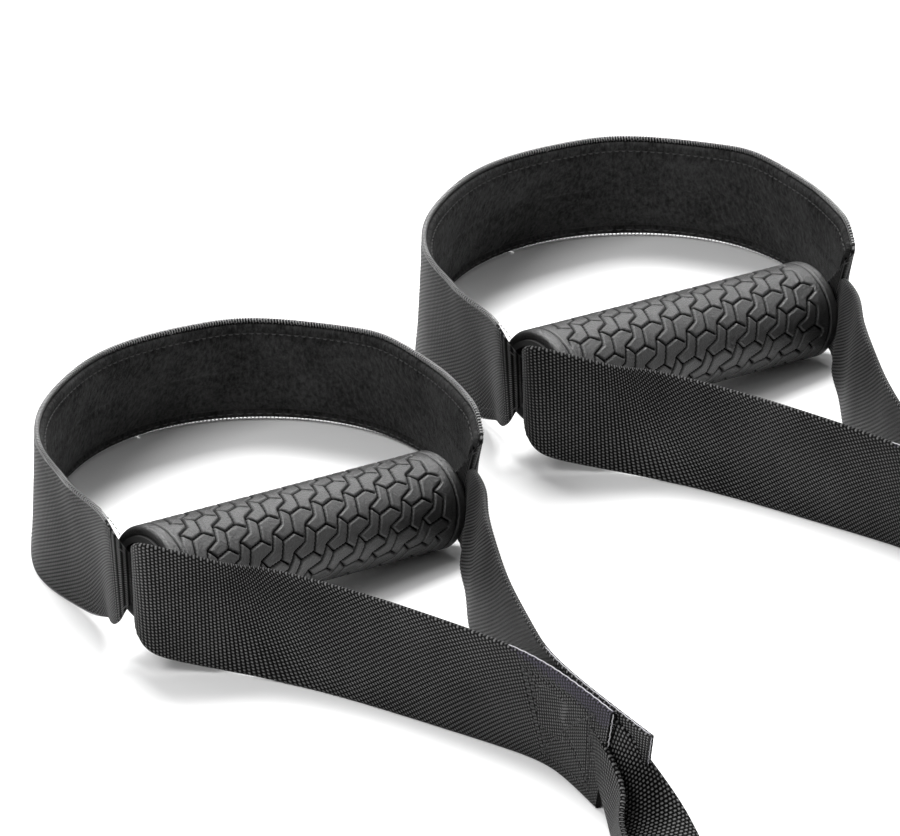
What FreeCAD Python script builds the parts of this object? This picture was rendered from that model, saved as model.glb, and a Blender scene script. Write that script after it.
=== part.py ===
import FreeCAD, Part
import math
import os
import Sketcher

# Shoulder pulley with two strap handles: millimetres, +Z up, everything lying on the floor z = 0.
# The origin is on the floor under the middle of the whole object; +X runs along the grips.
# Shapes are worked out from a datum on the floor under the middle of the front grip, and moved
# from there to the origin when they are kept.

Vector = FreeCAD.Vector
doc = FreeCAD.newDocument("ShoulderPulley")
sheet = doc.addObject("Spreadsheet::Sheet", "Sizes")

sizes = {
    # the origin, measured from the front grip's datum
    "origin_x": 172.4, "origin_y": -102.0,
    # hand grips
    "grip_length": 127.5, "grip_radius": 16.75, "sleeve_bore": 13.5, "tube_bore": 11.5,
    "tube_proud": 1.0, "grip_height": 24.0, "grip_tilt": 6.5, "collar_length": 4.6,
    "groove_width": 0.8, "groove_depth": 0.7,
    # webbing
    "strap_width": 40.0, "strap_thick": 2.0, "loop_thick": 1.8, "lining_thick": 2.4,
    "loop_lift": 0.6, "lining_hem": 1.5,
    "loop_width": 50.0,
    "bore_strap_width": 20.0, "bore_strap_thick": 4.0, "bore_strap_reach": 4.0,
    "near_fold": 9.0, "near_fold_deep": 10.0, "far_fold": 5.0, "far_fold_deep": 9.0,
    "fold_drop": 10.0,
    # place of the rear handle
    "rear_x": 193.0, "rear_y": 23.0,
    # folded spare webbing
    "hank_length": 104.0, "hank_depth": 30.0, "tie_thick": 1.2, "tie_width": 20.0,
    # pulley block, lying on its side with an upright axle
    "block_x": 215.0, "block_y": -300.0, "cheek_low": 4.5, "cheek_thick": 3.0,
    "cheek_gap": 45.5, "cheek_width": 36.0, "crown_reach": 34.0, "cheek_nose": 17.0,
    "roller_radius": 12.0, "rim_radius": 16.0, "rim_thick": 1.3, "roller_length": 43.0,
    "roller_play": 0.7,
    "roller_bore": 8.0, "bearing_bore": 4.05, "bearing_length": 9.0, "washer_radius": 8.0,
    "washer_thick": 1.0, "axle_radius": 4.0, "axle_length": 59.0, "bolt_head": 6.8,
    "nut_radius": 7.5, "nut_height": 6.5,
    # swivel eye
    "shank_radius": 4.0, "shank_hole": 4.05, "shank_collar": 6.5, "shank_collar_thick": 3.0,
    "turning_gap": 0.3, "eye_radius": 11.0, "eye_wire": 3.5, "eye_corner": 4.5,
    "eye_reach": 21.0, "swivel_nut_radius": 6.5, "swivel_nut_height": 6.0,
    # snap hook
    "hook_length": 80.0, "hook_width": 44.0, "hook_wire": 4.0, "hook_droop": 6.8,
    "hook_small": 11.0, "hook_stub": 20.0, "pin_x": 16.5, "gate_slot": 3.2, "gate_tongue": 2.8,
    "gate_wire": 3.4, "pin_radius": 1.5, "pin_play": 0.05, "spring_bore": 2.3,
    "spring_wire": 0.35, "spring_length": 14.0, "spring_room": 4.0,
    # door stop
    "stop_radius": 15.0, "core_radius": 6.0, "core_bore": 4.0, "stop_height": 56.0,
    "stop_reach": 62.0, "anchor_width": 20.0, "anchor_play": 5.2, "anchor_shift": 3.4,
}
for row, (alias, number) in enumerate(sizes.items(), start=1):
    sheet.set(f"A{row}", alias)
    sheet.set(f"B{row}", str(number))
    sheet.setAlias(f"B{row}", alias)
doc.recompute()

parts = []


def size(alias):
    return float(sheet.get(alias))


def keep(obj, label):
    """Name a finished sub-part, move it from the datum and add it to the list written out."""
    obj.Label = label
    datum = FreeCAD.Placement(Vector(-size("origin_x"), -size("origin_y"), 0), FreeCAD.Rotation())
    obj.Placement = datum.multiply(obj.Placement)
    parts.append(obj)
    return obj


def bind(obj, **expressions):
    for prop, expression in expressions.items():
        obj.setExpression(prop, expression)
    return obj


def solidFeature(label, shape, place=None):
    """A sub-part whose form needs Part's own functions."""
    obj = doc.addObject("Part::Feature", label)
    obj.Shape = shape
    if place is not None:
        obj.Placement = place.multiply(shape.Placement)
    return keep(obj, label)


def cut(name, base, tool):
    obj = doc.addObject("Part::Cut", name)
    obj.Base = base
    obj.Tool = tool
    return obj


def planeOf(body, role):
    return next(item for item in body.Origin.OriginFeatures if item.Role == role)


def latheBody(label, corners):
    """Turn a closed outline about Z. Each corner is a pair of cell names, radius and height."""
    body = doc.addObject("PartDesign::Body", label)
    sketch = body.newObject("Sketcher::SketchObject", label + "_profile")
    sketch.AttachmentSupport = [(planeOf(body, "XZ_Plane"), "")]
    sketch.MapMode = "FlatFace"
    count = len(corners)
    spots = [Vector(size(across), size(along), 0) for across, along in corners]
    for index in range(count):
        sketch.addGeometry(Part.LineSegment(spots[index], spots[(index + 1) % count]), False)
    for index in range(count):
        sketch.addConstraint(Sketcher.Constraint("Coincident", index, 2, (index + 1) % count, 1))
    for index, (across, along) in enumerate(corners):
        for kind, cell in (("DistanceX", across), ("DistanceY", along)):
            name = f"{kind}{index}"
            number = sketch.addConstraint(Sketcher.Constraint(kind, -1, 1, index, 1, size(cell)))
            sketch.renameConstraint(number, name)
            sketch.setExpression("Constraints." + name, "Sizes." + cell)
    turned = body.newObject("PartDesign::Revolution", label + "_turned")
    turned.Profile = sketch
    turned.ReferenceAxis = (sketch, ["V_Axis"])
    turned.Angle = 360
    body.Tip = turned
    return body


def smoothCurve(points):
    curve = Part.BSplineCurve()
    curve.interpolate([Vector(*point) for point in points])
    return curve


def stations(points, count):
    """Evenly spaced points on the smooth curve through the given points."""
    edge = smoothCurve(points).toShape()
    return edge.discretize(Number=count)


def ribbon(low, high, thickness, count, shift=0.0, trim=0.0):
    """A band between a lower and an upper edge, thickness across it, moved sideways by shift.

    Trim shortens the band's width at both edges by that share of it.
    Section k is the rectangle low_k, high_k, widened by thickness along the band's normal,
    which is (direction of travel) x (low to high).
    """
    lower = stations(low, count)
    upper = stations(high, count)
    sections = []
    for index in range(count):
        ahead = min(index + 1, count - 1)
        behind = max(index - 1, 0)
        travel = (lower[ahead] + upper[ahead]) - (lower[behind] + upper[behind])
        normal = travel.cross(upper[index] - lower[index])
        normal.normalize()
        inner = normal * (shift - thickness / 2)
        outer = normal * (shift + thickness / 2)
        across = upper[index] - lower[index]
        bottom = lower[index] + across * trim
        top = upper[index] - across * trim
        corners = [bottom + inner, top + inner, top + outer, bottom + outer]
        sections.append(Part.makePolygon(corners + corners[:1]))
    return Part.makeLoft(sections, True, True)


def upright(path, bottom, height):
    """Lower and upper edges of a band that stands straight up over a plan path."""
    low = [(x, y, bottom) for x, y in path]
    high = [(x, y, bottom + height) for x, y in path]
    return low, high


# ---------------------------------------------------------------- handles
legStations = 16
loopStations = 34
pullStations = 24
runStations = 60
tilt = size("grip_tilt")
gripTurn = FreeCAD.Rotation(Vector(0, 1, 0), 90 + tilt)

# lower and upper edges of the strap's two legs and of the foot loop, about the grip's middle
nearLow = [(-68, -5, 11), (-66, -13, 8), (-59, -22, 4), (-50, -32, 1), (-36, -57, 0),
           (-25, -94, 0), (-19, -125, 0), (-18.5, -149, 0)]
nearHigh = [(-78, -9, 51), (-75, -18, 48), (-66, -27, 44), (-53, -38, 41), (-36, -61, 40),
            (-25, -97, 40), (-19.5, -127, 40), (-18.5, -149, 40)]
farLow = [(69, -5, 1), (65, -15, 0.5), (56, -28, 0.2), (42, -46, 0), (25, -72, 0), (9, -97, 0),
          (-5, -120, 0), (-15.5, -149, 0)]
farHigh = [(71, -10, 38), (66, -20, 39), (55, -33, 40), (42, -50, 40), (25, -74, 40),
           (9, -98, 40), (-6, -121, 40), (-15.5, -149, 40)]
loopLow = [(-69, 10, 9), (-62, 28, 3), (-57, 45, 0), (-50, 67, 0), (-39, 84, 0), (-19, 104, 0),
           (5, 120, 0), (32, 128, 0), (56, 126, 0), (81, 113, 0), (97, 96, 0), (106, 75, 0),
           (107, 56, 0), (100, 32, 1), (86, 10, 2), (73, 0, 3)]
loopHigh = [(-75, 5, 52), (-69, 25, 50), (-62, 41, 50), (-50, 66, 50), (-38, 82, 50),
            (-16, 98, 49), (10, 108, 48), (34, 110, 47), (53, 107, 46), (70, 99, 45),
            (81, 85, 46), (88, 70, 47), (91, 56, 48), (89, 38, 47), (84, 18, 45), (76, 2, 42)]


def gripLathe(label, radius, bore, length, place):
    """A tube about the grip's axis, built upright and then laid along the grip."""
    outside = doc.addObject("Part::Cylinder", label + "_outside")
    bind(outside, Radius=radius, Height=length)
    inside = doc.addObject("Part::Cylinder", label + "_inside")
    bind(inside, Radius=bore, Height=length)
    tube = cut(label + "_tube", outside, inside)
    tube.Placement = place
    return tube


def gripPlace(x, y, half):
    """Place that carries an upright tube of half-length half onto the grip's tilted axis."""
    start = gripTurn.multVec(Vector(0, 0, -half))
    return FreeCAD.Placement(Vector(x, y, size("grip_height")) + start, gripTurn)


def makeSleeve(label, x, y):
    """The rubber sleeve: a tube with a shallow groove that sets off a smooth collar at each end."""
    half = size("grip_length") / 2
    tube = gripLathe(label, "Sizes.grip_radius", "Sizes.sleeve_bore", "Sizes.grip_length",
                     FreeCAD.Placement())
    groove = Part.makeCylinder(size("grip_radius") + 1, size("groove_width"))
    groove = groove.cut(Part.makeCylinder(size("grip_radius") - size("groove_depth"),
                                          size("groove_width")))
    lower = groove.translated(Vector(0, 0, size("collar_length")))
    upper = groove.translated(Vector(0, 0, size("grip_length") - size("collar_length")
                                     - size("groove_width")))
    rings = doc.addObject("Part::Feature", label + "_grooves")
    rings.Shape = Part.makeCompound([lower, upper])
    sleeve = cut(label, tube, rings)
    sleeve.Placement = gripPlace(x, y, half)
    keep(sleeve, label)


def makeCore(label, x, y):
    """The hard tube inside the sleeve, standing a little proud at both ends."""
    half = size("grip_length") / 2 + size("tube_proud")
    tube = gripLathe(label, "Sizes.sleeve_bore", "Sizes.tube_bore",
                     "Sizes.grip_length + 2 * Sizes.tube_proud", gripPlace(x, y, half))
    keep(tube, label)


def makeGripStrap(label, offset):
    """One webbing: near leg, folded lengthwise through the grip's bore, far leg, sewn together."""
    thick = size("strap_thick")
    near = ribbon(nearLow, nearHigh, thick, legStations)
    far = ribbon(farLow, farHigh, thick, legStations)
    half = size("grip_length") / 2 + size("tube_proud") + size("bore_strap_reach")
    width = size("bore_strap_width")
    deep = size("bore_strap_thick")
    strip = Part.makeBox(width, deep, 2 * half, Vector(-width / 2, -deep / 2, 0))
    strip.Placement = gripPlace(0, 0, half)
    rise = half * math.sin(math.radians(tilt))
    base = size("grip_height") - size("fold_drop")
    nearLong = size("near_fold")
    nearDeep = size("near_fold_deep")
    farLong = size("far_fold")
    farDeep = size("far_fold_deep")
    nearFold = Part.makeBox(nearLong, nearDeep, width,
                            Vector(deep / 2 - half - nearLong, -nearDeep, base + rise))
    farFold = Part.makeBox(farLong, farDeep, width,
                           Vector(half - deep / 4, -farDeep - deep / 2, base - rise))
    shape = near.fuse([far, strip, nearFold, farFold]).removeSplitter()
    shape.translate(offset)
    solidFeature(label, shape)


def makeLoop(label, liningLabel, offset):
    """The foot loop: woven band outside, soft lining inside, both leaning with the loop."""
    band = size("loop_thick")
    lining = size("lining_thick")
    outer = ribbon(loopLow, loopHigh, band, loopStations, shift=-band / 2)
    hem = size("lining_hem") / size("loop_width")
    inner = ribbon(loopLow, loopHigh, lining, loopStations, shift=lining / 2, trim=hem)
    lifted = offset + Vector(0, 0, size("loop_lift"))
    outer.translate(lifted)
    inner.translate(lifted)
    solidFeature(label, outer)
    solidFeature(liningLabel, inner)


rear = Vector(size("rear_x"), size("rear_y"), 0)
for side, offset in (("front", Vector(0, 0, 0)), ("rear", rear)):
    makeSleeve(side + "_grip_sleeve", offset.x, offset.y)
    makeCore(side + "_core_tube", offset.x, offset.y)
    makeGripStrap(side + "_grip_strap", offset)
    makeLoop(side + "_foot_loop", side + "_loop_lining", offset)

# ---------------------------------------------------------------- pull straps
# plan paths from each sewn joint to its folded spare webbing
frontPath = [(-17, -149.2), (-20, -168), (-27, -189), (-37, -212), (-49, -238), (-58, -264),
             (-60, -290), (-48, -314), (-22, -327), (12, -329), (48, -325.4), (82, -324.2)]
rearPath = [(176, -126.2), (174, -146), (171, -170), (171, -194), (175, -214), (177, -229),
            (169, -240), (154, -242.2), (140, -242.2)]
pullThick = size("strap_thick") * 1.5
for side, path in (("front", frontPath), ("rear", rearPath)):
    low, high = upright(path, 0.0, size("strap_width"))
    solidFeature(side + "_pull_strap", ribbon(low, high, pullThick, pullStations))


def makeHank(side, x, y, turn):
    """Spare webbing folded to and fro on edge, with a tie round its middle."""
    long = size("hank_length")
    deep = size("hank_depth")
    lift = size("tie_thick")
    half = long / 2 - deep / 2
    profile = Part.Wire([
        Part.LineSegment(Vector(-half, -deep / 2, 0), Vector(half, -deep / 2, 0)).toShape(),
        Part.Arc(Vector(half, -deep / 2, 0), Vector(long / 2, 0, 0),
                 Vector(half, deep / 2, 0)).toShape(),
        Part.LineSegment(Vector(half, deep / 2, 0), Vector(-half, deep / 2, 0)).toShape(),
        Part.Arc(Vector(-half, deep / 2, 0), Vector(-long / 2, 0, 0),
                 Vector(-half, -deep / 2, 0)).toShape()])
    bundle = Part.Face(profile).extrude(Vector(0, 0, size("strap_width")))
    place = FreeCAD.Placement(Vector(x, y, lift), FreeCAD.Rotation(Vector(0, 0, 1), turn))
    solidFeature(side + "_strap_hank", bundle, place)
    wide = size("tie_width")
    outer = Part.makeBox(wide, deep + 2 * lift, size("strap_width") + 2 * lift,
                         Vector(-wide / 2, -deep / 2 - lift, -lift))
    inner = Part.makeBox(wide, deep, size("strap_width"), Vector(-wide / 2, -deep / 2, 0))
    solidFeature(side + "_hank_tie", outer.cut(inner), place)


makeHank("front", 98, -341, 0)
makeHank("rear", 121, -259, 0)

# ---------------------------------------------------------------- pulley block
bx = size("block_x")
by = size("block_y")
blockPlace = FreeCAD.Placement(Vector(bx, by, 0), FreeCAD.Rotation())
low = size("cheek_low")
gap = size("cheek_gap")
cheek = size("cheek_thick")
middle = low + cheek + gap / 2

# the strap's run over the roller, from one hank round the roller to the other
wrap = size("roller_radius") + size("strap_thick") / 2 + size("roller_play")
lift = low + cheek + (gap - size("strap_width")) / 2


def rollerRun():
    """Two strands joined by a half turn about the axle: (bx + w sin a, by - w cos a)."""
    strands = [(115, -324.6, 0), (138, -324.6, 0), (160, -323.4, 0.8), (183, -319, 4.5),
               (204, by - wrap - 0.6, lift)]
    turn = []
    for step in range(7):
        angle = math.radians(30 * step)
        turn.append((bx + wrap * math.sin(angle), by - wrap * math.cos(angle), lift))
    back = [(204, by + wrap + 0.6, lift), (187, -280.4, 5), (171, -276.4, 1), (156, -275.4, 0),
            (141, -275.4, 0)]
    return strands + turn + back


runLow = rollerRun()
runHigh = [(x, y, z + size("strap_width")) for x, y, z in runLow]
solidFeature("roller_strap", ribbon(runLow, runHigh, size("strap_thick"), runStations))


def makeBracket():
    """A bent steel strap: two cheeks with round noses joined by a crown, drilled for axle and eye."""
    reach = size("crown_reach")
    wide = size("cheek_width")
    nose = size("cheek_nose")
    tall = gap + 2 * cheek
    plan = Part.Wire([
        Part.LineSegment(Vector(0, -wide / 2, 0), Vector(reach, -wide / 2, 0)).toShape(),
        Part.LineSegment(Vector(reach, -wide / 2, 0), Vector(reach, wide / 2, 0)).toShape(),
        Part.LineSegment(Vector(reach, wide / 2, 0), Vector(0, wide / 2, 0)).toShape(),
        Part.Arc(Vector(0, wide / 2, 0), Vector(-nose, 0, 0), Vector(0, -wide / 2, 0)).toShape()])
    block = Part.Face(plan).extrude(Vector(0, 0, tall))
    window = Part.makeBox(reach - cheek + 2 * nose, wide * 2, gap,
                          Vector(-2 * nose, -wide, cheek))
    block = block.cut(window)
    corners = [edge for edge in block.Edges
               if abs(edge.BoundBox.XMin - reach) < 0.01 and edge.BoundBox.YLength > wide - 0.1]
    block = block.makeFillet(cheek * 0.9, corners)
    axleHole = Part.makeCylinder(size("bearing_bore"), tall)
    eyeHole = Part.makeCylinder(size("shank_hole"), 3 * cheek,
                                Vector(reach - 2 * cheek, 0, tall / 2), Vector(1, 0, 0))
    block = block.cut(axleHole).cut(eyeHole)
    block.translate(Vector(0, 0, low))
    solidFeature("block_bracket", block, blockPlace)


makeBracket()

# roller: a nylon drum with a low rim at each end and a bearing pressed into each mouth
rollerSpots = {
    "roller_base": 0.0, "roller_top": size("roller_length"),
    "rim_low": size("rim_thick"), "rim_high": size("roller_length") - size("rim_thick"),
}
for row, (alias, number) in enumerate(rollerSpots.items(), start=len(sizes) + 1):
    sheet.set(f"A{row}", alias)
    sheet.set(f"B{row}", str(number))
    sheet.setAlias(f"B{row}", alias)
doc.recompute()
rollerLow = low + cheek + (gap - size("roller_length")) / 2
roller = latheBody("block_roller", [
    ("roller_bore", "roller_base"), ("rim_radius", "roller_base"), ("rim_radius", "rim_low"),
    ("roller_radius", "rim_low"), ("roller_radius", "rim_high"), ("rim_radius", "rim_high"),
    ("rim_radius", "roller_top"), ("roller_bore", "roller_top")])
roller.Placement = FreeCAD.Placement(Vector(bx, by, rollerLow), FreeCAD.Rotation())
keep(roller, "block_roller")


def ringPair(label, radius, bore, height, firstZ, secondZ):
    """Two equal flat rings on the axle, kept together as one group."""
    rings = []
    for base in (firstZ, secondZ):
        ring = Part.makeCylinder(radius, height).cut(Part.makeCylinder(bore, height))
        rings.append(ring.translated(Vector(0, 0, base)))
    solidFeature(label, Part.makeCompound(rings), blockPlace)


ringPair("roller_bearings", size("roller_bore"), size("bearing_bore"), size("bearing_length"),
         rollerLow, rollerLow + size("roller_length") - size("bearing_length"))
ringPair("roller_washers", size("washer_radius"), size("bearing_bore"), size("washer_thick"),
         low + cheek, low + cheek + gap - size("washer_thick"))


def hexPrism(across, height, base):
    """A hexagonal prism of the given distance from centre to corner."""
    corners = [Vector(across * math.cos(math.radians(60 * k)),
                      across * math.sin(math.radians(60 * k)), base) for k in range(7)]
    return Part.Face(Part.makePolygon(corners)).extrude(Vector(0, 0, height))


def makeAxle():
    """Axle bolt with a low round head below and a lock nut above."""
    head = Part.makeCylinder(size("bolt_head"), low)
    head = head.makeFillet(1.5, [edge for edge in head.Edges if edge.BoundBox.ZMax < 0.01])
    shank = Part.makeCylinder(size("axle_radius"), size("axle_length"), Vector(0, 0, low))
    solidFeature("axle_bolt", head.fuse(shank), blockPlace)
    top = low + 2 * cheek + gap
    nut = hexPrism(size("nut_radius"), size("nut_height"), top)
    nut = nut.cut(Part.makeCylinder(size("axle_radius"), size("nut_height"), Vector(0, 0, top)))
    solidFeature("axle_nut", nut, blockPlace)


makeAxle()


def roundBar(start, end, radius):
    return Part.makeCylinder(radius, (end - start).Length, start, end - start)


def roundBend(start, heading, centre, degrees, radius, about=Vector(0, -1, 0)):
    """A bent round bar: a disc at start, swung through the angle about an axis at the centre."""
    disc = Part.Face(Part.Wire(Part.makeCircle(radius, start, heading)))
    return disc.revolve(centre, about, degrees)


def eyeRing(ringAt):
    """A D-shaped ring: a half circle at the shank, two arms, two corners and a straight bar."""
    wire = size("eye_wire")
    wide = size("eye_radius")
    corner = size("eye_corner")
    armEnd = ringAt + wide - corner
    pieces = []
    for hand in (1, -1):
        up = Vector(0, 0, hand)
        armStart = Vector(ringAt, -hand * wide, middle)
        cornerStart = Vector(armEnd, -hand * wide, middle)
        pieces += [
            roundBend(armStart, Vector(1, 0, 0), Vector(ringAt, 0, middle), -90, wire, up),
            roundBar(armStart, cornerStart, wire),
            roundBend(cornerStart, Vector(1, 0, 0),
                      Vector(armEnd, -hand * (wide - corner), middle), 90, wire, up)]
    bar = roundBar(Vector(ringAt + wide, corner - wide, middle),
                   Vector(ringAt + wide, wide - corner, middle), wire)
    return [bar] + pieces


def makeSwivel():
    """An eye on a round shank that turns in the crown, held by a nut inside the bracket."""
    reach = size("crown_reach")
    ringAt = reach + size("eye_reach")
    nutHigh = size("swivel_nut_height")
    nutStart = reach - cheek - nutHigh
    gapAlong = size("turning_gap")
    start = nutStart - gapAlong
    neck = ringAt - size("eye_radius")
    shank = Part.makeCylinder(size("shank_radius"), neck - start, Vector(start, 0, middle),
                              Vector(1, 0, 0))
    collar = Part.makeCylinder(size("shank_collar"), size("shank_collar_thick"),
                               Vector(reach + gapAlong, 0, middle), Vector(1, 0, 0))
    solidFeature("swivel_eye", shank.fuse([collar] + eyeRing(ringAt)), blockPlace)
    nut = hexPrism(size("swivel_nut_radius"), nutHigh - gapAlong, 0)
    nut = nut.cut(Part.makeCylinder(size("shank_radius"), nutHigh))
    nut.rotate(Vector(0, 0, 0), Vector(0, 1, 0), 90)
    nut.translate(Vector(nutStart, 0, middle))
    solidFeature("swivel_nut", nut, blockPlace)
    return bx + ringAt


eyeX = makeSwivel()

# ---------------------------------------------------------------- snap hook
# built flat in its own XZ plane with the eye's bar at the origin, then tipped down to the floor
hookWire = size("hook_wire")
hookLong = size("hook_length")
hookHalf = size("hook_width") / 2 - hookWire
seat = size("eye_radius") - size("eye_wire") - hookWire - 0.5
hookPlace = FreeCAD.Placement(Vector(eyeX + seat, by, middle),
                              FreeCAD.Rotation(Vector(0, 1, 0), size("hook_droop")))
stubX = size("hook_stub")
pinX = size("pin_x")


# the gate's tongue, and its gaps to the body at both ends
tongueLong = 9.0
tongueHigh = 5.0
gateGap = 1.2
gateLift = 0.35


def makeHook():
    """The body bends from the hinge end round the small end, along the spine, round the big end."""
    small = size("hook_small")
    big = hookHalf
    back = hookLong - 2 * hookWire - big
    lean = math.asin((big - small) / (back - small))
    sine = math.sin(lean)
    cosine = math.cos(lean)
    turned = math.degrees(lean)
    nearTangent = Vector(small - small * sine, 0, -small * cosine)
    farTangent = Vector(back - big * sine, 0, -big * cosine)
    stubStart = Vector(stubX, 0, small)
    bendStart = Vector(small, 0, small)
    body = roundBar(stubStart, bendStart, hookWire).fuse([
        roundBend(bendStart, Vector(-1, 0, 0), Vector(small, 0, 0), 180 - turned, hookWire),
        roundBar(nearTangent, farTangent, hookWire),
        roundBend(farTangent, farTangent - nearTangent, Vector(back, 0, 0), 180 + turned,
                  hookWire)])
    slotWide = size("gate_slot")
    slotLong = 3 * hookWire
    slot = Part.makeBox(slotLong, slotWide, slotLong,
                        Vector(stubX - 2 * hookWire, -slotWide / 2, small - slotLong / 2))
    pinHole = Part.makeCylinder(size("pin_radius"), 4 * hookWire,
                                Vector(pinX, -2 * hookWire, small), Vector(0, 1, 0))
    body = body.cut(slot).cut(pinHole)
    solidFeature("hook_body", body, hookPlace)
    thick = size("gate_tongue")
    half = tongueHigh / 2
    tongue = Part.makeBox(tongueLong, thick, tongueHigh, Vector(pinX - half, -thick / 2,
                                                                small - half))
    eye = Part.makeCylinder(size("pin_radius") + size("pin_play"), 2 * thick,
                            Vector(pinX, -thick, small), Vector(0, 1, 0))
    first = Vector(stubX + gateGap, 0, small + gateLift)
    last = Vector(back - gateGap, 0, big - gateLift)
    bar = Part.makeCylinder(size("gate_wire"), (last - first).Length, first, last - first)
    pocket = Part.makeCylinder(size("spring_bore"), size("spring_length") + size("spring_room"),
                               first, last - first)
    gate = bar.cut(pocket).fuse(tongue).cut(eye)
    solidFeature("hook_gate", gate, hookPlace)
    wire = size("spring_wire")
    coil = Part.makeHelix(4 * wire, size("spring_length"), size("spring_bore") - 2 * wire)
    section = Part.Wire(Part.makeCircle(wire, Vector(size("spring_bore") - 2 * wire, 0, 0),
                                        Vector(0, 1, 0)))
    spring = Part.Wire(coil.Edges).makePipeShell([section], True, True)
    along = FreeCAD.Rotation(Vector(0, 0, 1), last - first)
    room = (last - first).normalize() * (size("spring_room") / 2)
    spring.Placement = FreeCAD.Placement(first + room, along)
    solidFeature("gate_spring", spring, hookPlace)
    pinHalf = hookWire - wire
    pin = Part.makeCylinder(size("pin_radius"), 2 * pinHalf, Vector(pinX, -pinHalf, small),
                            Vector(0, 1, 0))
    solidFeature("gate_pin", pin, hookPlace)
    return back + big


hookFar = makeHook()

# ---------------------------------------------------------------- door anchor
farEnd = hookPlace.multVec(Vector(hookFar, 0, 0))
stopX = farEnd.x + size("stop_reach")
stopHigh = size("stop_height")
anchorZ = farEnd.z - size("anchor_width") / 2


def makeAnchor():
    """A foam roll on a hard core, held by a webbing that loops round the hook and the roll."""
    place = FreeCAD.Placement(Vector(stopX, by, 0), FreeCAD.Rotation())
    foam = Part.makeCylinder(size("stop_radius"), stopHigh)
    foam = foam.cut(Part.makeCylinder(size("core_radius"), stopHigh))
    solidFeature("anchor_foam", foam, place)
    core = Part.makeCylinder(size("core_radius"), stopHigh)
    core = core.cut(Part.makeCylinder(size("core_bore"), stopHigh))
    solidFeature("anchor_core", core, place)


makeAnchor()


def loopWall(outerSmall, outerBig, reach, thick):
    """Plan outline of a belt round two circles, as the difference of two tangent hulls."""
    def hull(small, big):
        lean = math.asin((big - small) / reach)
        cosine = math.cos(lean)
        sine = math.sin(lean)
        points = [Vector(-small * sine, small * cosine, 0),
                  Vector(reach - big * sine, big * cosine, 0)]
        mirrored = [Vector(point.x, -point.y, 0) for point in points]
        edges = [Part.LineSegment(points[0], points[1]).toShape(),
                 Part.Arc(points[1], Vector(reach + big, 0, 0), mirrored[1]).toShape(),
                 Part.LineSegment(mirrored[1], mirrored[0]).toShape(),
                 Part.Arc(mirrored[0], Vector(-small, 0, 0), points[0]).toShape()]
        return Part.Face(Part.Wire(edges))
    return hull(outerSmall, outerBig).cut(hull(outerSmall - thick, outerBig - thick))


beltThick = size("strap_thick")
beltX = farEnd.x - size("anchor_shift")
belt = loopWall(hookWire + size("anchor_play") + beltThick,
                size("stop_radius") + size("pin_play") + beltThick, stopX - beltX, beltThick)
belt = belt.extrude(Vector(0, 0, size("anchor_width")))
solidFeature("anchor_strap", belt,
             FreeCAD.Placement(Vector(beltX, by, anchorZ), FreeCAD.Rotation()))

# ---------------------------------------------------------------- check and write
doc.recompute()
for obj in doc.Objects:
    if "Invalid" in obj.State or "Error" in obj.State:
        raise RuntimeError(f"{obj.Name} failed: {obj.State}")
os.makedirs("parts", exist_ok=True)
for obj in parts:
    shape = obj.Shape
    if shape.isNull() or not shape.isValid():
        raise RuntimeError(f"{obj.Label} has no valid shape")
    shape.exportStep(os.path.join("parts", obj.Label + ".step"))
    box = shape.BoundBox
    print(f"{obj.Label:20s} solids {len(shape.Solids)} volume {shape.Volume:10.1f} "
          f"x {box.XMin:7.1f}..{box.XMax:6.1f} y {box.YMin:7.1f}..{box.YMax:6.1f} "
          f"z {box.ZMin:5.1f}..{box.ZMax:5.1f}")
print(len(parts), "parts")
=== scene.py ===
import math
import bpy
import numpy as np
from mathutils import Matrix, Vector


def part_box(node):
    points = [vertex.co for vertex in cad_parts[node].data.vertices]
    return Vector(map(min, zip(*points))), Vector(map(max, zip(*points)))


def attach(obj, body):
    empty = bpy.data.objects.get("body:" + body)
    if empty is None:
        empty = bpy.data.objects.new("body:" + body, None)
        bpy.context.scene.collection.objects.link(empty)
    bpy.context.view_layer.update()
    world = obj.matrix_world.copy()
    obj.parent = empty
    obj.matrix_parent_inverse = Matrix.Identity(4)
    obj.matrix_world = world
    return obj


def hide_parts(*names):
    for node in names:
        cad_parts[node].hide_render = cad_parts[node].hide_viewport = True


# Strap pulley with two handles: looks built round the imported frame, in metres, +Z up.
# Handle shapes are given in millimetres from a datum on the floor under the front grip's middle.

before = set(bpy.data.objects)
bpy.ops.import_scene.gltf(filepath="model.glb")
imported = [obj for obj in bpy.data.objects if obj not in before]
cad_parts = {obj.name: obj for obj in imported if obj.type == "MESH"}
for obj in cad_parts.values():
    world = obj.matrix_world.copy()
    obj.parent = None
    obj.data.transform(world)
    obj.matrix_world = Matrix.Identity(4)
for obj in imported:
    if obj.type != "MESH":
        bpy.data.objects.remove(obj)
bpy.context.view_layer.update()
mm = 0.001
rng = np.random.default_rng(7)


def middleOf(node):
    low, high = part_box(node)
    return np.array((low + high) / 2)


datum = middleOf("front_grip_sleeve") * (1, 1, 0)
rearShift = (middleOf("rear_grip_sleeve") - middleOf("front_grip_sleeve")) * (1, 1, 0)
shifts = {"front": np.zeros(3), "rear": rearShift}

cameraView = {
    "azimuth": -42.321,     # degrees round from straight ahead along +Y
    "elevation": 26.0,      # degrees above the floor
    "distance": 4.0,
    "lens": 471.27,
    "aim": (131.9, 67.28, 0.0),     # mm from the datum
}


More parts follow.
